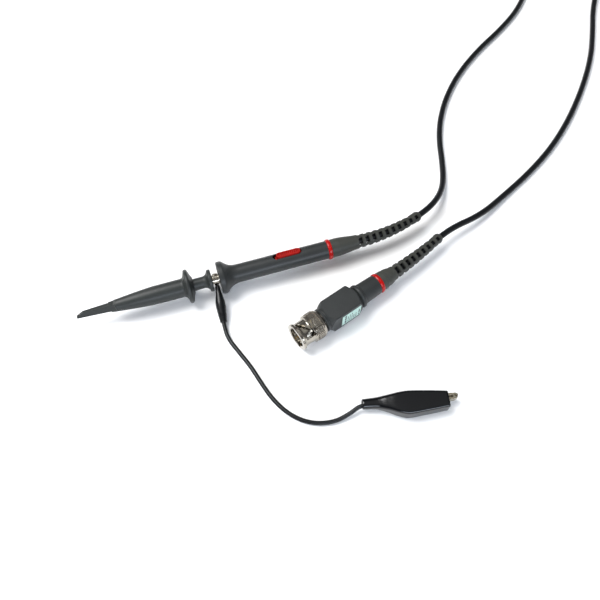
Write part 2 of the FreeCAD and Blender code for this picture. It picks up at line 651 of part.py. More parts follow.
# ------------------------------------------------------------------- BNC plug
b = new_body("bnc_plug_body")
ct = D("contact_rad")
revolve(b, [(1.6, 3.5), (1.6, ct - 0.25), (1.9, ct), (9.7, ct), (9.7, 5.2), (10.7, 5.2), (10.7, 4.5),
            (18.2, 4.5), (18.2, 2.2), (10.0, 2.2), (10.0, 3.5)])
pocket(b, "XY_Plane", [rect(1.0, 6.0, -5.0, 5.0)], 0.6)
pocket(b, "XZ_Plane", [rect(1.0, 6.0, -5.0, 5.0)], 0.6)
settle(b, "bnc_plug_body", "box")

b = new_body("bnc_insulator")
revolve(b, [(3.4, 0.72), (3.4, 2.3), (6.4, 2.3), (6.4, 3.46), (9.9, 3.46), (9.9, 2.16), (19.4, 2.16), (19.4, 0.72)])
settle(b, "bnc_insulator", "box")

b = new_body("bnc_centre_pin")
pr = D("pin_rad")
revolve(b, [(2.1, 0.0), (2.3, pr - 0.3), (2.8, pr), (20.8, pr), (20.8, 0.0)])
settle(b, "bnc_centre_pin", "box")

b = new_body("bnc_gasket")
revolve(b, [(8.75, ct + 0.02), (8.75, 4.82), (9.65, 4.82), (9.65, ct + 0.02)])
settle(b, "bnc_gasket", "box")

b = new_body("bnc_spring_washer")
revolve(b, [(10.95, 5.0), (10.95, 5.35), (11.9, 4.98), (11.9, 4.63)])
settle(b, "bnc_spring_washer", "box")

# coupling nut: bayonet barrel, fluted grip and rear lip
nr_, kr, nb, nl = VAL["nut_rad"], VAL["knurl_rad"], VAL["nut_bore"], VAL["nut_len"]
rim = VAL["rim_rad"]
prof = [(0.0, nb + 0.25), (0.0, rim - 0.25), (0.25, rim), (1.2, rim), (1.5, rim - 0.2), (1.75, rim - 0.5),
        (2.1, nr_ + 0.2), (2.6, nr_ + 0.05), (3.2, nr_), (6.6, nr_), (6.95, nr_ + 0.15), (7.15, nr_ + 0.5),
        (7.25, kr - 0.35), (7.5, kr - 0.08), (7.95, kr - 0.08), (8.2, kr - 0.4), (8.3, kr - 0.62),
        (8.65, kr - 0.62), (8.8, kr - 0.1), (8.95, kr), (12.3, kr), (12.5, kr - 0.12), (13.1, kr - 0.22),
        (13.75, kr - 0.5), (nl, kr - 0.98), (nl, 4.62), (13.3, 4.62), (13.3, 5.5), (9.5, 5.5), (9.5, nb), (0.25, nb)]
face = Part.Face(Part.makePolygon([Vec(a, c, 0) for a, c in prof] + [Vec(prof[0][0], prof[0][1], 0)]))
nut = face.revolve(Vec(0, 0, 0), Vec(1, 0, 0), 360)
cuts = []
N = 48
for i in range(N):
    a = 2 * math.pi * i / N
    cuts.append(cyl(8.7, 12.4, 0.32, (kr + 0.05) * math.cos(a), (kr + 0.05) * math.sin(a)))
nut = nut.cut(Part.makeCompound(cuts))
START, SWEEP, RISE0, RISE1, MEAN = 62.0, 78.0, 2.7, 6.5, 5.85
lean = math.atan2(RISE1 - RISE0, MEAN * math.radians(SWEEP))
for half in (0.0, 180.0):
    wires = []
    for i in range(9):
        f = i / 8.0
        a = math.radians(START + half + SWEEP * f)
        rad = Vec(0, math.cos(a), math.sin(a))
        tan = Vec(0, -math.sin(a), math.cos(a))
        side = Vec(math.cos(lean), 0, 0) - tan * math.sin(lean)
        mid = Vec(RISE0 + (RISE1 - RISE0) * f, 0, 0)
        c = [mid + rad * ro + side * sg for ro, sg in ((4.3, -1.0), (7.6, -1.0), (7.6, 1.0), (4.3, 1.0))]
        wires.append(Part.makePolygon(c + [c[0]]))
    nut = nut.cut(Part.makeLoft(wires, True))
    for f, r in ((0.0, 1.0), (1.0, 1.25)):
        a = math.radians(START + half + SWEEP * f)
        nut = nut.cut(Part.makeCylinder(r, 3.4, Vec(RISE0 + (RISE1 - RISE0) * f, 4.3 * math.cos(a), 4.3 * math.sin(a)),
                                        Vec(0, math.cos(a), math.sin(a))))
    entry = Part.makeBox(2.9, 2.1, 5.95, Vec(-0.2, -1.05, 0))
    entry.Placement = Pla(Vec(0, 0, 0), Rot(Vec(1, 0, 0), START + half - 90.0))
    nut = nut.cut(entry)
own(nut, "bnc_coupling_nut", "box")

# ------------------------------------------------------------ compensation box
hs = VAL["box_side"] / 2
fx0, rx0 = VAL["box_front_x"], VAL["box_rear_x"]
col = VAL["collar_rad"]
prism_ = Part.makeLoft([rr_wire(14.0, -hs, hs, -hs, hs, VAL["box_edge"]),
                        rr_wire(rx0 + 1.0, -hs, hs, -hs, hs, VAL["box_edge"])], True, True)
turned = [(15.0, 5.6), (15.0, col - 0.45), (15.12, col - 0.2), (15.4, col), (15.95, col), (16.25, col - 0.15),
          (16.4, col - 0.38), (16.6, col - 0.3), (16.9, col + 0.05), (17.4, col + 0.6), (18.2, col + 1.45), (fx0 - 1.0, 8.55),
          (fx0 - 0.2, 9.1), (rx0 - 3.4, 9.1), (rx0 - 2.75, 8.5), (rx0 - 2.0, 7.45), (rx0 - 1.2, 6.35), (rx0 - 0.6, 5.75),
          (rx0, 5.35), (rx0, 0.0), (15.0, 0.0)]
face = Part.Face(Part.makePolygon([Vec(p, q, 0) for p, q in turned] + [Vec(turned[0][0], turned[0][1], 0)]))
shell = prism_.common(face.revolve(Vec(0, 0, 0), Vec(1, 0, 0), 360))
shell = shell.cut(block(19.6, rx0 - 2.9, -hs + 1.25, hs - 1.25, -hs + 1.25, hs - 1.25))
shell = shell.cut(cyl(14.0, 20.0, 4.55)).cut(cyl(rx0 - 3.5, rx0 + 1, 3.9))
shell = shell.cut(Part.makeCylinder(1.45, 4.0, Vec(28.5, hs - 2.5, 0), Vec(0, 1, 0)))
own(shell.removeSplitter(), "box_shell", "box")

b = new_body("box_rear_cap")
rx, nk, brx = D("box_rear_x"), D("neck_rad"), D("box_ring_x")
revolve(b, [(rx - 1.1, 3.75), (rx - 1.1, 3.85), (rx + 0.05, 3.85), (rx + 0.05, 5.6), (rx + 0.15, 5.9), (rx + 0.4, 6.1), (rx + 0.75, 6.18), (rx + 1.5, 6.18),
            (rx + 1.85, 6.08), (rx + 2.1, 5.85), (rx + 2.3, nk + 0.5), (rx + 2.6, nk + 0.35), (brx - 1.1, nk), (brx - 1.1, 4.32), (brx - 0.05, 4.32),
            (brx - 0.05, 3.75)])
settle(b, "box_rear_cap", "box")
coding_ring("box_coding_ring", "box", brx)

b = new_body("box_label")
pad(b, "XZ_Plane", [rect(23.0, 34.4, -4.3, 4.3)], 0.14, False, D("box_side") * 0.5 + 0.005)
settle(b, "box_label", "box")

b = new_body("comp_board")
pad(b, "XY_Plane", [rect(20.4, 33.6, -4.5, 4.5)], 0.9, False, -3.6)
settle(b, "comp_board", "box")

trim = block(26.3, 30.7, 0.9, 3.7, -2.65, 2.2).cut(Part.makeCylinder(0.66, 3.0, Vec(28.5, 1.9, 0), Vec(0, 1, 0)))
own(trim, "trimmer_body", "box")
screw = Part.makeCylinder(0.6, 2.2, Vec(28.5, 2.1, 0), Vec(0, 1, 0))
screw = screw.fuse(Part.makeCylinder(1.2, 1.7, Vec(28.5, 3.85, 0), Vec(0, 1, 0)))
screw = screw.cut(block(27.0, 30.0, 5.0, 6.0, -0.2, 0.2))
own(screw.removeSplitter(), "trimmer_screw", "box")

own(leaded(22.6, 28.4, 0.9, -1.4, 1.6).translated(Vec(0, -2.4, 0)), "comp_resistor", "box")

b = new_body("box_ferrule")
revolve(b, [(41.0, 1.62), (41.0, 2.5), (41.8, 2.5), (41.8, 2.05), (46.2, 2.05), (46.2, 1.62)])
settle(b, "box_ferrule", "box")

# ----------------------------------------------------------------- main cable
# One cable from the head's strain relief to the box's.  Its middle is wound
# into a neat coil that lies on the plane.
CD = VAL["cable_dia"]
bx, by, bz, bt = VAL["box_x"], VAL["box_y"], VAL["box_z"], math.radians(VAL["box_turn"])


def from_box(s, w, z):
    return (bx + s * math.cos(bt) - w * math.sin(bt), by + s * math.sin(bt) + w * math.cos(bt), z)


HZ = VAL["head_z"]
RUN_HEAD = [(141.0, 0.0, HZ), (155.6, 0.0, HZ), (173.1, 3.1, HZ), (187.0, 8.3, 8.2),
            (196.6, 15.0, 6.2), (203.9, 23.2, 3.6), (209.0, 32.6, 2.0), (213.6, 45.0, 1.7),
            (218.0, 58.5, 1.7), (225.0, 73.0, 1.7), (236.0, 89.0, 1.7), (252.5, 106.5, 1.7),
            (274.0, 123.0, 1.7), (298.0, 137.5, 1.7), (320.0, 154.0, 1.7), (337.5, 174.5, 1.7),
            (349.5, 194.0, 1.7), (357.5, 203.5, 1.7)]
RUN_BOX = [from_box(60.5, 0, bz), from_box(77.98, 0, bz), from_box(101.8, 3.33, bz - 0.1),
           (215.5, -0.9, 4.0), (235.8, 9.2, 1.7), (256.0, 19.2, 1.7), (276.5, 31.6, 1.7),
           (295.5, 46.5, 1.7), (312.5, 62.5, 1.7), (328.5, 79.5, 1.7), (343.5, 98.0, 1.7),
           (356.0, 117.5, 1.7), (368.0, 137.5, 1.9), (381.5, 155.5, 2.9), (391.5, 171.0, 4.4)]
t1, l1 = tube(RUN_HEAD, CD, "cable_run_head")
t2, l2 = tube(RUN_BOX, CD, "cable_run_box")

cx, cy, cm = VAL["coil_x"], VAL["coil_y"], VAL["coil_mean"]
w, hh = 5.05, 6.65
prof = rr_wire(0.0, cm - w, cm + w, 0.02, 0.02 + hh, 1.5)
prof.rotate(Vec(0, 0, 0), Vec(0, 0, 1), 0)
ringc = Part.Face(prof).revolve(Vec(0, 0, 0), Vec(0, 0, 1), 360)
ringc.translate(Vec(cx, cy, 0))
own(ringc, "cable_coil", "floor")
print("coil", "x %.1f y %.1f" % (cx, cy), "mean radius", cm)

# a wire tie round one side of the coil
ta = math.radians(-100.0)
to = Part.Face(rr_wire(0.0, -w - 0.95, w + 0.95, -0.0, hh + 0.95, 1.9)).extrude(Vec(3.0, 0, 0))
ti = Part.Face(rr_wire(-1.0, -w - 0.05, w + 0.05, -1.0, hh + 0.07, 1.4)).extrude(Vec(5.0, 0, 0))
tie = to.cut(ti)
tie.Placement = Pla(Vec(cx + cm * math.cos(ta), cy + cm * math.sin(ta), 0.0),
                    Rot(Vec(0, 0, 1), math.degrees(ta) + 90)).multiply(Pla(Vec(-1.5, 0, 0), Rot()))
own(tie, "coil_tie", "floor")

# -------------------------------------------------------------------- export
doc.recompute()
for o in doc.Objects:
    if "Invalid" in o.State or "Error" in o.State:
        raise RuntimeError("failed object: " + o.Name + " " + str(o.State))
os.makedirs("parts", exist_ok=True)
CORDS = {"ground_lead_boot", "ground_lead", "clip_boot", "clip_fixed_jaw", "clip_moving_jaw", "clip_pivot_pin",
         "clip_spring", "cable_run_head", "cable_run_box", "cable_coil", "coil_tie"}
box = None
for label, obj in NODES:
    sh = obj.Shape
    if sh.isNull() or not sh.isValid():
        raise RuntimeError("bad shape: " + label)
    if len(sh.Solids) != 1:
        print("NOTE", label, "has", len(sh.Solids), "solids")
    sh.exportStep("parts/" + label + ".step")
    if label not in CORDS:
        bb = sh.optimalBoundingBox(True, False)
        box = bb if box is None else box.united(bb)
print(len(NODES), "nodes; object box", [round(v, 2) for v in (box.XMin, box.XMax, box.YMin, box.YMax, box.ZMin, box.ZMax)],
      "centre %.2f %.2f" % ((box.XMin + box.XMax) / 2, (box.YMin + box.YMax) / 2))
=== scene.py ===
import bpy
import bmesh
import math
from mathutils import Matrix, Vector


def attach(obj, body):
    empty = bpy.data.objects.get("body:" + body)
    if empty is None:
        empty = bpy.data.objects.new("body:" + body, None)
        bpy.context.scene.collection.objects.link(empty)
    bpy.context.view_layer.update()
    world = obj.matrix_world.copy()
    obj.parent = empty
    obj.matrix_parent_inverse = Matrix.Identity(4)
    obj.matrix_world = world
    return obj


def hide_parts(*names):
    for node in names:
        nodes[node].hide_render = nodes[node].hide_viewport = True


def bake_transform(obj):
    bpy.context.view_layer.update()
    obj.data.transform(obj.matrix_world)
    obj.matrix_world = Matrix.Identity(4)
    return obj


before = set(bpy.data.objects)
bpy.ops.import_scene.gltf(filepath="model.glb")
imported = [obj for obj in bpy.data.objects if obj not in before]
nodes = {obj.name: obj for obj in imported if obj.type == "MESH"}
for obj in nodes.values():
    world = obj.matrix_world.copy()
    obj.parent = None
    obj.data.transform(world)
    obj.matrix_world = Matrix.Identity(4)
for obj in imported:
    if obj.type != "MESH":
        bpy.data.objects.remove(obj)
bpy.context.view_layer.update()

# ------------------------------------------------------------------ frame
SHIFT_X, SHIFT_Y = 93.98, 20.215          # the head's own x and y in the model
HEAD_Z = 8.6
BOX_X, BOX_Y, BOX_Z, BOX_TURN = 98.1, -42.4, 7.25, math.radians(19.0)
CLIP_X, CLIP_Y, CLIP_Z, CLIP_TURN = 117.1, -82.0, 4.0, math.radians(-12.8)


def W(x, y, z):
    """Millimetres along the head, beside it and above the plane, to the model's metres."""
    return Vector(((x - SHIFT_X) / 1000.0, (y + SHIFT_Y) / 1000.0, z / 1000.0))


def B(s, w, z):
    """Along, beside and above the compensation box's axis."""
    return W(BOX_X + s * math.cos(BOX_TURN) - w * math.sin(BOX_TURN),
             BOX_Y + s * math.sin(BOX_TURN) + w * math.cos(BOX_TURN), BOX_Z + z)


def C(s, w, z):
    """Along, beside and above the alligator clip's axis."""
    return W(CLIP_X + s * math.cos(CLIP_TURN) - w * math.sin(CLIP_TURN),
             CLIP_Y + s * math.sin(CLIP_TURN) + w * math.cos(CLIP_TURN), CLIP_Z + z)


# ----------------------------------------------------------------- camera
cam_data = bpy.data.cameras.new("camera")
cam_data.sensor_fit = "HORIZONTAL"
cam_data.sensor_width = 36.0
cam_data.lens = 36.0
cam_data.clip_start = 0.01
cam_data.clip_end = 20.0
cam = bpy.data.objects.new("camera", cam_data)
right = Vector((0.9538, -0.3004, 0.0))
up = Vector((0.2627, 0.8342, 0.4848))
back = Vector((-0.1456, -0.4624, 0.8746))
rot = Matrix((right, up, back)).transposed().to_4x4()
cam.matrix_world = Matrix.Translation(W(7.58 + 55.3, -160.17, 266.07)) @ rot
bpy.context.scene.collection.objects.link(cam)
bpy.context.scene.camera = cam
bpy.context.scene.view_settings.view_transform = "Standard"


# -------------------------------------------------------------- materials
class Mat:
    """A material whose textures read the object's own coordinates, in metres."""

    def __init__(self, name, turn=0.0, about=None):
        self.m = bpy.data.materials.new(name)
        self.m.use_nodes = True
        self.t = self.m.node_tree
        self.b = self.t.nodes["Principled BSDF"]
        tc = self.t.nodes.new("ShaderNodeTexCoord")
        self.co = tc.outputs["Object"]
        if turn or about is not None:
            mp = self.t.nodes.new("ShaderNodeMapping")
            mp.vector_type = "TEXTURE"
            mp.inputs["Rotation"].default_value = (0, 0, turn)
            if about is not None:
                mp.inputs["Location"].default_value = about
            self.t.links.new(self.co, mp.inputs["Vector"])
            self.co = mp.outputs["Vector"]

    def n(self, kind, **kw):
        node = self.t.nodes.new(kind)
        for k, v in kw.items():
            setattr(node, k, v)
        return node

    def link(self, a, b):
        self.t.links.new(a, b)

    def stretch(self, sx, sy, sz):
        mp = self.n("ShaderNodeMapping")
        mp.inputs["Scale"].default_value = (sx, sy, sz)
        self.link(self.co, mp.inputs["Vector"])
        return mp.outputs["Vector"]

    def noise(self, scale, detail=3.0, rough=0.5, vec=None, distortion=0.0):
        nd = self.n("ShaderNodeTexNoise")
        nd.inputs["Scale"].default_value = scale
        nd.inputs["Detail"].default_value = detail
        nd.inputs["Roughness"].default_value = rough
        nd.inputs["Distortion"].default_value = distortion
        self.link(vec if vec is not None else self.co, nd.inputs["Vector"])
        return nd.outputs["Fac"]

    def voronoi(self, scale, vec=None, feature="F1"):
        nd = self.n("ShaderNodeTexVoronoi", feature=feature)
        nd.inputs["Scale"].default_value = scale
        self.link(vec if vec is not None else self.co, nd.inputs["Vector"])
        return nd.outputs["Distance"]

    def ramp(self, fac, stops):
        nd = self.n("ShaderNodeValToRGB")
        cr = nd.color_ramp
        while len(cr.elements) < len(stops):
            cr.elements.new(0.5)
        for e, (p, c) in zip(cr.elements, stops):
            e.position = p
            e.color = (c[0], c[1], c[2], 1.0) if not isinstance(c, (int, float)) else (c, c, c, 1.0)
        self.link(fac, nd.inputs["Fac"])
        return nd.outputs["Color"]

    def span(self, fac, lo, hi, a=0.3, b=0.7):
        nd = self.n("ShaderNodeMapRange")
        nd.inputs["From Min"].default_value = a
        nd.inputs["From Max"].default_value = b
        nd.inputs["To Min"].default_value = lo
        nd.inputs["To Max"].default_value = hi
        self.link(fac, nd.inputs["Value"])
        return nd.outputs["Result"]

    def mix(self, fac, a, b, kind="MIX"):
        nd = self.n("ShaderNodeMix", data_type="RGBA", blend_type=kind)
        for src, sock in ((fac, nd.inputs[0]), (a, nd.inputs[6]), (b, nd.inputs[7])):
            if isinstance(src, (int, float)):
                sock.default_value = src
            elif isinstance(src, tuple):
                sock.default_value = (src[0], src[1], src[2], 1.0)
            else:
                self.link(src, sock)
        return nd.outputs[2]

    def math(self, op, a, b=None):
        nd = self.n("ShaderNodeMath", operation=op)
        for src, sock in ((a, nd.inputs[0]), (b, nd.inputs[1])):
            if src is None:
                continue
            if isinstance(src, (int, float)):
                sock.default_value = src
            else:
                self.link(src, sock)
        return nd.outputs[0]

    def colour(self, out):
        self.link(out, self.b.inputs["Base Color"])

    def rough(self, out):
        if isinstance(out, (int, float)):
            self.b.inputs["Roughness"].default_value = out
        else:
            self.link(out, self.b.inputs["Roughness"])

    def bump(self, height, strength, distance):
        nd = self.n("ShaderNodeBump")
        nd.inputs["Strength"].default_value = strength
        nd.inputs["Distance"].default_value = distance
        prev = self.b.inputs["Normal"]
        if prev.is_linked:
            self.link(prev.links[0].from_socket, nd.inputs["Normal"])
        self.link(height, nd.inputs["Height"])
        self.link(nd.outputs["Normal"], prev)

    def set(self, **kw):
        for k, v in kw.items():
            self.b.inputs[k.replace("_", " ")].default_value = v
        return self


def lin(r, g, b):
    """sRGB 0-255 to linear."""
    out = []
    for v in (r, g, b):
        v /= 255.0
        out.append(v / 12.92 if v <= 0.04045 else ((v + 0.055) / 1.055) ** 2.4)
    return tuple(out)


def moulded(name, rgb, rough=0.42, grain=0.16, cloud=0.10, spread=0.05):
    """Satin injection-moulded plastic: fine spark-eroded grain, faint clouding and handling marks."""
    k = Mat(name)
    c = lin(*rgb)
    cl = k.noise(55.0, 4.0, 0.55)
    fine = k.noise(2600.0, 2.0, 0.6)
    dark = tuple(v * (1.0 - cloud) for v in c)
    lite = tuple(v * (1.0 + cloud) for v in c)
    base = k.ramp(cl, [(0.3, dark), (0.7, lite)])
    speck = k.ramp(fine, [(0.35, (0.90, 0.90, 0.90)), (0.65, (1.08, 1.08, 1.08))])
    k.colour(k.mix(1.0, base, speck, "MULTIPLY"))
    wear = k.noise(160.0, 5.0, 0.65, distortion=0.4)
    k.rough(k.span(wear, rough - spread, rough + spread, 0.3, 0.7))
    k.bump(fine, grain, 0.00003)
    k.bump(k.voronoi(1700.0, feature="SMOOTH_F1"), grain * 0.6, 0.00003)
    k.bump(k.noise(420.0, 3.0, 0.5), 0.10, 0.00005)
    k.set(Specular_IOR_Level=0.28)
    return k.m


def gloss(name, rgb, rough=0.25, bump=0.08, spec=0.5):
    k = Mat(name)
    c = lin(*rgb)
    cl = k.noise(240.0, 3.0, 0.5)
    k.colour(k.ramp(cl, [(0.3, tuple(v * 0.88 for v in c)), (0.7, tuple(min(1, v * 1.08) for v in c))]))
    k.rough(k.span(k.noise(700.0, 4.0, 0.6), rough * 0.8, rough * 1.25))
    k.bump(k.noise(900.0, 3.0, 0.5), bump, 0.00006)
    k.bump(k.noise(3200.0, 2.0, 0.5), bump * 0.6, 0.00003)
    k.set(Specular_IOR_Level=spec)
    return k.m


def plated(name, rgb, rough=0.2, turn=0.0, about=None, rings=True, tarnish=0.25):
    """Plated turned metal: lathe rings, smudges and a little tarnish in patches."""
    k = Mat(name, turn, about)
    c = lin(*rgb)
    patch = k.noise(420.0, 5.0, 0.6, distortion=0.6)
    dark = tuple(v * (1.0 - tarnish) for v in c)
    k.colour(k.ramp(patch, [(0.32, dark), (0.62, c)]))
    smear = k.noise(900.0, 4.0, 0.6)
    k.rough(k.span(smear, rough * 0.75, rough * 1.45))
    if rings:
        k.bump(k.noise(1.0, 2.0, 0.5, vec=k.stretch(5200.0, 60.0, 60.0)), 0.10, 0.00003)
    k.bump(k.noise(650.0, 3.0, 0.5), 0.02, 0.00005)
    k.set(Metallic=1.0)
    return k.m


M = {}
M["grey"] = moulded("grey_plastic", (42, 44, 44), 0.40)
M["hook"] = moulded("hook_plastic", (41, 44, 43), 0.43)
M["relief"] = moulded("relief_plastic", (54, 55, 51), 0.50, 0.22)
M["red_ring"] = gloss("red_ring", (162, 10, 6), 0.26, 0.04, spec=0.30)
M["red_switch"] = gloss("red_switch", (152, 18, 12), 0.42, 0.10, spec=0.25)
M["nickel"] = plated("nickel", (172, 166, 155), 0.15, BOX_TURN, tarnish=0.12)
M["nickel_head"] = plated("nickel_head", (164, 158, 146), 0.20)
M["jaw"] = plated("jaw_nickel", (186, 178, 158), 0.22, CLIP_TURN, rings=False)
M["spring"] = plated("spring_steel", (180, 180, 178), 0.25, rings=False)
M["gold"] = plated("gold_contact", (226, 190, 120), 0.24, rings=False)
M["vinyl"] = gloss("black_vinyl", (6, 7, 10), 0.12, 0.03, spec=0.42)
M["boot"] = gloss("lead_boot", (9, 11, 13), 0.30, 0.10, spec=0.32)
M["ptfe"] = moulded("white_ptfe", (226, 224, 216), 0.45, 0.06)
M["board"] = gloss("board", (22, 92, 48), 0.3, 0.05)
M["component"] = gloss("component_body", (96, 148, 186), 0.3, 0.05)
M["ceramic"] = moulded("ceramic", (186, 150, 104), 0.5, 0.12)
M["label"] = moulded("label_stock", (176, 204, 194), 0.45, 0.05, cloud=0.03)
M["ink"] = moulded("label_ink", (58, 66, 66), 0.5, 0.05, cloud=0.10)
M["silicone"] = gloss("silicone", (170, 70, 52), 0.5, 0.10)
M["tie"] = gloss("tie_plastic", (22, 22, 24), 0.4, 0.10)


def jacket(name, rgb, rough):
    """Extruded cable jacket: faint draw lines and dust."""
    k = Mat(name)
    c = lin(*rgb)
    k.colour(k.ramp(k.noise(130.0, 4.0, 0.6), [(0.3, tuple(v * 0.8 for v in c)), (0.7, tuple(v * 1.25 for v in c))]))
    k.rough(k.span(k.noise(420.0, 4.0, 0.6), rough - 0.07, rough + 0.07))
    k.bump(k.noise(1500.0, 3.0, 0.55), 0.12, 0.00005)
    k.set(Specular_IOR_Level=0.28)
    return k.m


M["cable"] = jacket("cable_jacket", (10, 12, 15), 0.36)
M["lead"] = jacket("lead_jacket", (8, 10, 13), 0.34)

WEAR = {
    "hook_sleeve": "hook", "hook_core": "hook", "hook_wire": "gold", "tip_socket": "gold", "hook_spring": "spring",
    "needle_tip": "gold", "nose_insulator": "ptfe", "ground_barrel": "nickel_head", "probe_body": "grey",
    "range_switch": "red_switch", "switch_wiper": "gold", "attenuator_board": "board", "tip_resistor": "component",
    "damping_resistor": "component", "tip_capacitor": "ceramic", "head_ferrule": "nickel_head",
    "head_coding_ring": "red_ring", "head_strain_relief": "relief", "box_strain_relief": "relief",
    "ground_ring_clip": "nickel_head", "ground_lead_boot": "boot", "clip_fixed_jaw": "jaw", "clip_moving_jaw": "jaw",
    "clip_pivot_pin": "jaw", "clip_spring": "spring", "bnc_plug_body": "nickel", "bnc_insulator": "ptfe",
    "bnc_centre_pin": "gold", "bnc_gasket": "silicone", "bnc_spring_washer": "spring", "bnc_coupling_nut": "nickel",
    "box_shell": "grey", "box_rear_cap": "grey", "box_coding_ring": "red_ring", "box_label": "label",
    "comp_board": "board", "trimmer_body": "ceramic", "trimmer_screw": "gold", "comp_resistor": "component",
    "box_ferrule": "nickel", "coil_tie": "tie",
}


def dress(obj, mat):
    if obj.material_slots:
        for s in obj.material_slots:
            s.link = "OBJECT"
            s.material = mat
    else:
        obj.data.materials.append(mat)


for name, key in WEAR.items():
    dress(nodes[name], M[key])


def new_mesh(name, verts, faces, mat, smooth=True):
    me = bpy.data.meshes.new(name)
    me.from_pydata([tuple(v) for v in verts], [], faces)
    me.update()
    o = bpy.data.objects.new(name, me)
    bpy.context.scene.collection.objects.link(o)
    me.materials.append(mat)
    for p in me.polygons:
        p.use_smooth = smooth
    return o


# ------------------------------------------------------------------ cords
def cord_curve(name, pts, dia, mat):
    """One open smooth spline through the route's control points."""
    cu = bpy.data.curves.new(name, "CURVE")
    cu.dimensions = "3D"
    sp = cu.splines.new("NURBS")
    sp.points.add(len(pts) - 1)
    for p, q in zip(sp.points, pts):
        p.co = (q[0], q[1], q[2], 1.0)
    sp.order_u = 3
    sp.use_endpoint_u = True
    sp.resolution_u = 10
    cu.bevel_depth = dia / 2
    cu.bevel_resolution = 6
    cu.use_fill_caps = True
    cu.materials.append(mat)
    o = bpy.data.objects.new(name, cu)
    bpy.context.scene.collection.objects.link(o)
    return o


def from_box(s, w, z):
    return (BOX_X + s * math.cos(BOX_TURN) - w * math.sin(BOX_TURN),
            BOX_Y + s * math.sin(BOX_TURN) + w * math.cos(BOX_TURN), z)


RUN_HEAD = [(141.0, 0.0, HEAD_Z), (155.6, 0.0, HEAD_Z), (173.1, 3.1, HEAD_Z), (187.0, 8.3, 8.2),
            (196.6, 15.0, 6.2), (203.9, 23.2, 3.6), (209.0, 32.6, 2.0), (213.6, 45.0, 1.7),
            (218.0, 58.5, 1.7), (225.0, 73.0, 1.7), (236.0, 89.0, 1.7), (252.5, 106.5, 1.7),
            (274.0, 123.0, 1.7), (298.0, 137.5, 1.7), (320.0, 154.0, 1.7), (337.5, 174.5, 1.7),
            (349.5, 194.0, 1.7), (357.5, 203.5, 1.7)]
RUN_BOX = [from_box(60.5, 0, BOX_Z), from_box(77.98, 0, BOX_Z), from_box(101.8, 3.33, BOX_Z - 0.1),
           (215.5, -0.9, 4.0), (235.8, 9.2, 1.7), (256.0, 19.2, 1.7), (276.5, 31.6, 1.7),
           (295.5, 46.5, 1.7), (312.5, 62.5, 1.7), (328.5, 79.5, 1.7), (343.5, 98.0, 1.7),
           (356.0, 117.5, 1.7), (368.0, 137.5, 1.9), (381.5, 155.5, 2.9), (391.5, 171.0, 4.4)]
COIL_X, COIL_Y = 375.3, 190.0


def coil_points():
    """Six turns, three beside each other and two deep, wound clockwise.

    Each turn keeps its radius for most of the way round and steps over beside
    the one before in the last part of the turn.
    """
    rad = [(21.55, 1.68), (18.25, 1.68), (14.95, 1.68), (14.95, 5.0), (18.25, 5.0), (21.55, 5.0)]
    out = []
    per = 20
    total = 5 * per + int(round(155.0 / 360.0 * per))
    for i in range(1, total + 1):
        t = i / per
        k = int(t)
        f = t - k
        r, z = rad[min(k, 5)]
        if k < 5 and f > 0.80:
            u = (f - 0.80) / 0.20
            u = u * u * (3 - 2 * u)
            r2, z2 = rad[k + 1]
            r, z = r + (r2 - r) * u, z + (z2 - z) * u
            if k == 2:
                r -= 1.9 * math.sin(math.pi * u)
        a = math.radians(125.0 - 360.0 * t)
        out.append((COIL_X + r * math.cos(a), COIL_Y + r * math.sin(a), z))
    return out


cable_pts = [W(*p) for p in RUN_HEAD + coil_points() + RUN_BOX[::-1]]
cable = cord_curve("coaxial_cable", cable_pts, 0.0033, M["cable"])
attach(cable, "probe")
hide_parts("cable_run_head", "cable_coil", "cable_run_box")

LEAD = [(67.8, -14.3, 4.35), (67.05, -21.8, 2.1), (67.0, -29.8, 1.1), (70.2, -38.3, 1.1),
        (73.8, -47.5, 1.1), (76.2, -56.8, 1.1), (79.2, -66.6, 1.1), (84.4, -75.8, 1.1),
        (92.2, -82.5, 1.1), (102.3, -85.3, 1.2), (110.6, -84.0, 2.3), (116.6, -82.0, 3.9),
        (122.2, -83.15, 4.0)]
lead = cord_curve("ground_wire", [W(*p) for p in LEAD], 0.0021, M["lead"])
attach(lead, "ground_set")
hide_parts("ground_lead")

# ------------------------------------------------------------- clip boot
# Dip-moulded vinyl cover: a round neck that swells into a flat-sided pod.
SEC = [(0.0, -2.3, 2.4, 2.3, 2.2), (6.0, -2.6, 2.6, 2.55, 2.1), (11.5, -4.1, 3.1, 3.25, 1.8),
       (16.3, -6.1, 3.7, 3.8, 1.6), (20.5, -7.2, 4.05, 3.95, 1.5), (30.0, -6.3, 3.5, 3.85, 1.4),
       (39.3, -5.1, 2.6, 3.6, 1.3)]


def hermite(x, xs, ys):
    """Smooth curve through the table's points without overshoot."""
    n = len(xs)
    d = [(ys[i + 1] - ys[i]) / (xs[i + 1] - xs[i]) for i in range(n - 1)]
    m = [d[0]] + [0.0 if d[i - 1] * d[i] <= 0 else 2 * d[i - 1] * d[i] / (d[i - 1] + d[i]) for i in range(1, n - 1)]
    m.append(d[-1])
    for i in range(n - 1):
        if x <= xs[i + 1] or i == n - 2:
            h = xs[i + 1] - xs[i]
            t = (x - xs[i]) / h
            return ((1 + 2 * t) * (1 - t) ** 2 * ys[i] + t * (1 - t) ** 2 * h * m[i]
                    + t * t * (3 - 2 * t) * ys[i + 1] + t * t * (t - 1) * h * m[i + 1])
    return ys[-1]


def sec_at(s, inset=0.0):
    xs = [q[0] for q in SEC]
    a, c, h, r = (hermite(s, xs, [q[j] for q in SEC]) for j in (1, 2, 3, 4))
    return a + inset, c - inset, h - inset, max(r - inset * 0.8, 0.5)


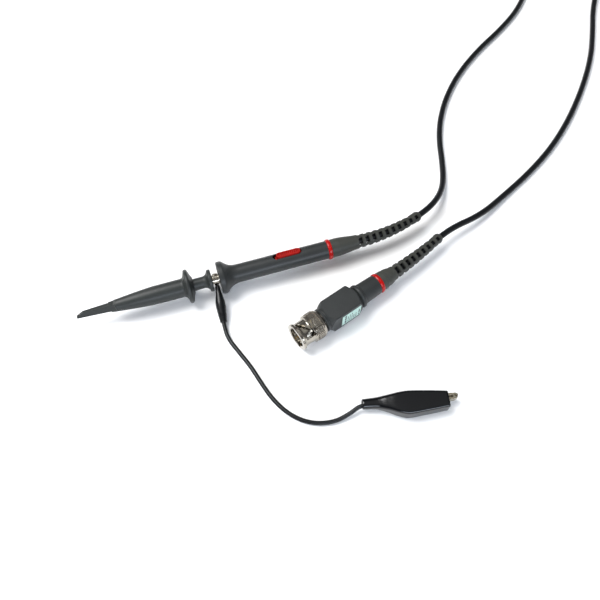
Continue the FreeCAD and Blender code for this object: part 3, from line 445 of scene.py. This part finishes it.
def ring_pts(s, inset, n=10):
    a, c, h, r = sec_at(s, inset)
    r = min(r, (c - a) / 2 - 0.02, h - 0.02)
    pts = []
    for cw, cz, a0 in ((c - r, h - r, 0), (a + r, h - r, 90), (a + r, -h + r, 180), (c - r, -h + r, 270)):
        for i in range(n + 1):
            t = math.radians(a0 + 90.0 * i / n)
            pts.append((cw + r * math.cos(t), cz + r * math.sin(t)))
    return pts


def clip_boot_mesh():
    verts, faces = [], []
    loops = []

    def add(s, inset, lean=0.0):
        idx = []
        for w, z in ring_pts(s, inset):
            idx.append(len(verts))
            verts.append(C(s + lean * z, w, z))
        loops.append(idx)

    end = SEC[-1][0]
    st = [0.35, 0.12, 0.0]
    add(0.55, 0.70)
    add(0.12, 0.55)
    add(0.0, 0.35)
    add(0.06, 0.12)
    add(0.30, 0.0)
    n = 46
    for i in range(1, n):
        add(0.30 + (end - 0.75) * i / n, 0.0)
    add(end - 0.30, 0.0)
    add(end - 0.06, 0.10)
    add(end, 0.30)
    add(end - 0.03, 0.52)
    add(end - 0.30, 0.70)
    for i in range(1, 30):
        add(end - 0.30 - (end - 1.2) * i / 30, 0.70)
    add(0.75, 0.70)
    for i in range(len(loops)):
        p, q = loops[i], loops[(i + 1) % len(loops)]
        m = len(p)
        for j in range(m):
            faces.append((p[j], q[j], q[(j + 1) % m], p[(j + 1) % m]))
    return verts, faces


v, f = clip_boot_mesh()
clip_boot = new_mesh("clip_boot_vinyl", v, f, M["vinyl"])
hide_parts("clip_boot")
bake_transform(clip_boot)


# ----------------------------------------------------------- hook spring
def helix_mesh(x0, x1, radius, wire, turns, per=28, ring=10):
    """A coil spring round the head's axis, its end turns closed up and flat."""
    n = turns * per
    verts, faces = [], []
    mid = []
    for i in range(n + 1):
        f = i / n
        g = f - 0.055 * math.sin(2 * math.pi * f)
        a = 2 * math.pi * turns * f
        mid.append(Vector((x0 + wire / 2 + (x1 - x0 - wire) * g, radius * math.cos(a), radius * math.sin(a))))
    for i, p in enumerate(mid):
        d = (mid[min(i + 1, n)] - mid[max(i - 1, 0)]).normalized()
        out = Vector((0, p.y, p.z)).normalized()
        side = d.cross(out).normalized()
        for j in range(ring):
            t = 2 * math.pi * j / ring
            q = p + out * (wire / 2 * math.cos(t)) + side * (wire / 2 * math.sin(t))
            verts.append(W(q.x, q.y, HEAD_Z + q.z))
    for i in range(n):
        for j in range(ring):
            a, b = i * ring + j, i * ring + (j + 1) % ring
            faces.append((a, b, b + ring, a + ring))
    faces.append(tuple(range(ring))[::-1])
    faces.append(tuple(n * ring + j for j in range(ring)))
    return verts, faces


v, f = helix_mesh(28.75, 40.95, 2.35, 0.5, 7)
spring = new_mesh("hook_spring_coil", v, f, M["spring"])
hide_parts("hook_spring")
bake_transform(spring)

# ----------------------------------------------------------- label print
def label_marks():
    """Generic bars in place of print: rows of dashes across the label."""
    verts, faces = [], []
    rows = [(24.6, 0.95, [(0.0, 2.6), (3.1, 1.9), (5.4, 1.7)]), (26.4, 0.42, [(0.0, 1.6), (2.0, 3.1)]),
            (27.6, 0.42, [(0.0, 2.9), (3.3, 1.2), (4.9, 0.9)]), (28.8, 0.42, [(0.0, 1.1), (1.5, 2.6), (4.5, 1.6)]),
            (30.0, 0.42, [(0.0, 3.4)]), (31.3, 0.42, [(0.0, 2.1), (2.5, 1.4)]), (33.0, 0.8, [(0.0, 1.3), (2.2, 2.9)])]
    w0 = -6.3 - 0.145 - 0.022
    for s, wide, dashes in rows:
        for z0, ln in dashes:
            a = len(verts)
            z = -3.6 + z0
            for (ss, ww, zz) in ((s, w0, z), (s + wide, w0, z), (s + wide, w0, z + ln), (s, w0, z + ln),
                                 (s, w0 + 0.03, z), (s + wide, w0 + 0.03, z), (s + wide, w0 + 0.03, z + ln),
                                 (s, w0 + 0.03, z + ln)):
                verts.append(B(ss, ww, zz))
            for q in ((0, 3, 2, 1), (4, 5, 6, 7), (0, 1, 5, 4), (1, 2, 6, 5), (2, 3, 7, 6), (3, 0, 4, 7)):
                faces.append(tuple(a + i for i in q))
    return verts, faces


v, f = label_marks()
marks = new_mesh("label_marks", v, f, M["ink"], smooth=False)
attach(marks, "probe")

# ------------------------------------------------------- floor and lights
bpy.ops.mesh.primitive_plane_add(size=6.0, location=(0.1, 0.1, -0.00002))
floor = bpy.context.object
floor.name = "floor"
fm = Mat("floor_paper")
fm.colour(fm.ramp(fm.noise(3.0, 3.0, 0.5), [(0.3, (0.90, 0.90, 0.90)), (0.7, (0.94, 0.94, 0.94))]))
fm.rough(0.9)
dress(floor, fm.m)

world = bpy.data.worlds.new("world")
bpy.context.scene.world = world
world.use_nodes = True
wt = world.node_tree
wc = wt.nodes.new("ShaderNodeTexCoord")
wx = wt.nodes.new("ShaderNodeSeparateXYZ")
wt.links.new(wc.outputs["Generated"], wx.inputs[0])
wr = wt.nodes.new("ShaderNodeValToRGB")
for p, g in ((0.0, 0.55), (0.30, 0.20), (0.52, 0.10), (0.80, 0.16)):
    e = wr.color_ramp.elements[0] if p == 0.0 else (wr.color_ramp.elements[1] if p == 0.80 else wr.color_ramp.elements.new(p))
    e.position = p
    e.color = (g, g, g * 1.03, 1.0)
wt.links.new(wx.outputs["Z"], wr.inputs["Fac"])
wt.links.new(wr.outputs["Color"], wt.nodes["Background"].inputs["Color"])
wt.nodes["Background"].inputs["Strength"].default_value = 0.60


def area(name, at, aim, size, power, colour=(1, 1, 1), size_y=None):
    d = bpy.data.lights.new(name, "AREA")
    d.shape = "RECTANGLE"
    d.size = size
    d.size_y = size_y or size
    d.energy = power
    d.color = colour
    o = bpy.data.objects.new(name, d)
    o.location = at
    o.rotation_euler = (Vector(aim) - Vector(at)).to_track_quat("-Z", "Y").to_euler()
    bpy.context.scene.collection.objects.link(o)
    return o


area("key_softbox", (-0.62, 0.60, 1.35), (0.02, 0.0, 0.0), 1.0, 36.0)
area("left_fill", (-1.10, -0.55, 0.80), (0.02, 0.0, 0.0), 0.40, 2.6)
area("front_strip", (0.05, -0.85, 0.38), (0.02, 0.0, 0.0), 1.0, 7.5, (0.80, 0.88, 1.0), 0.24)
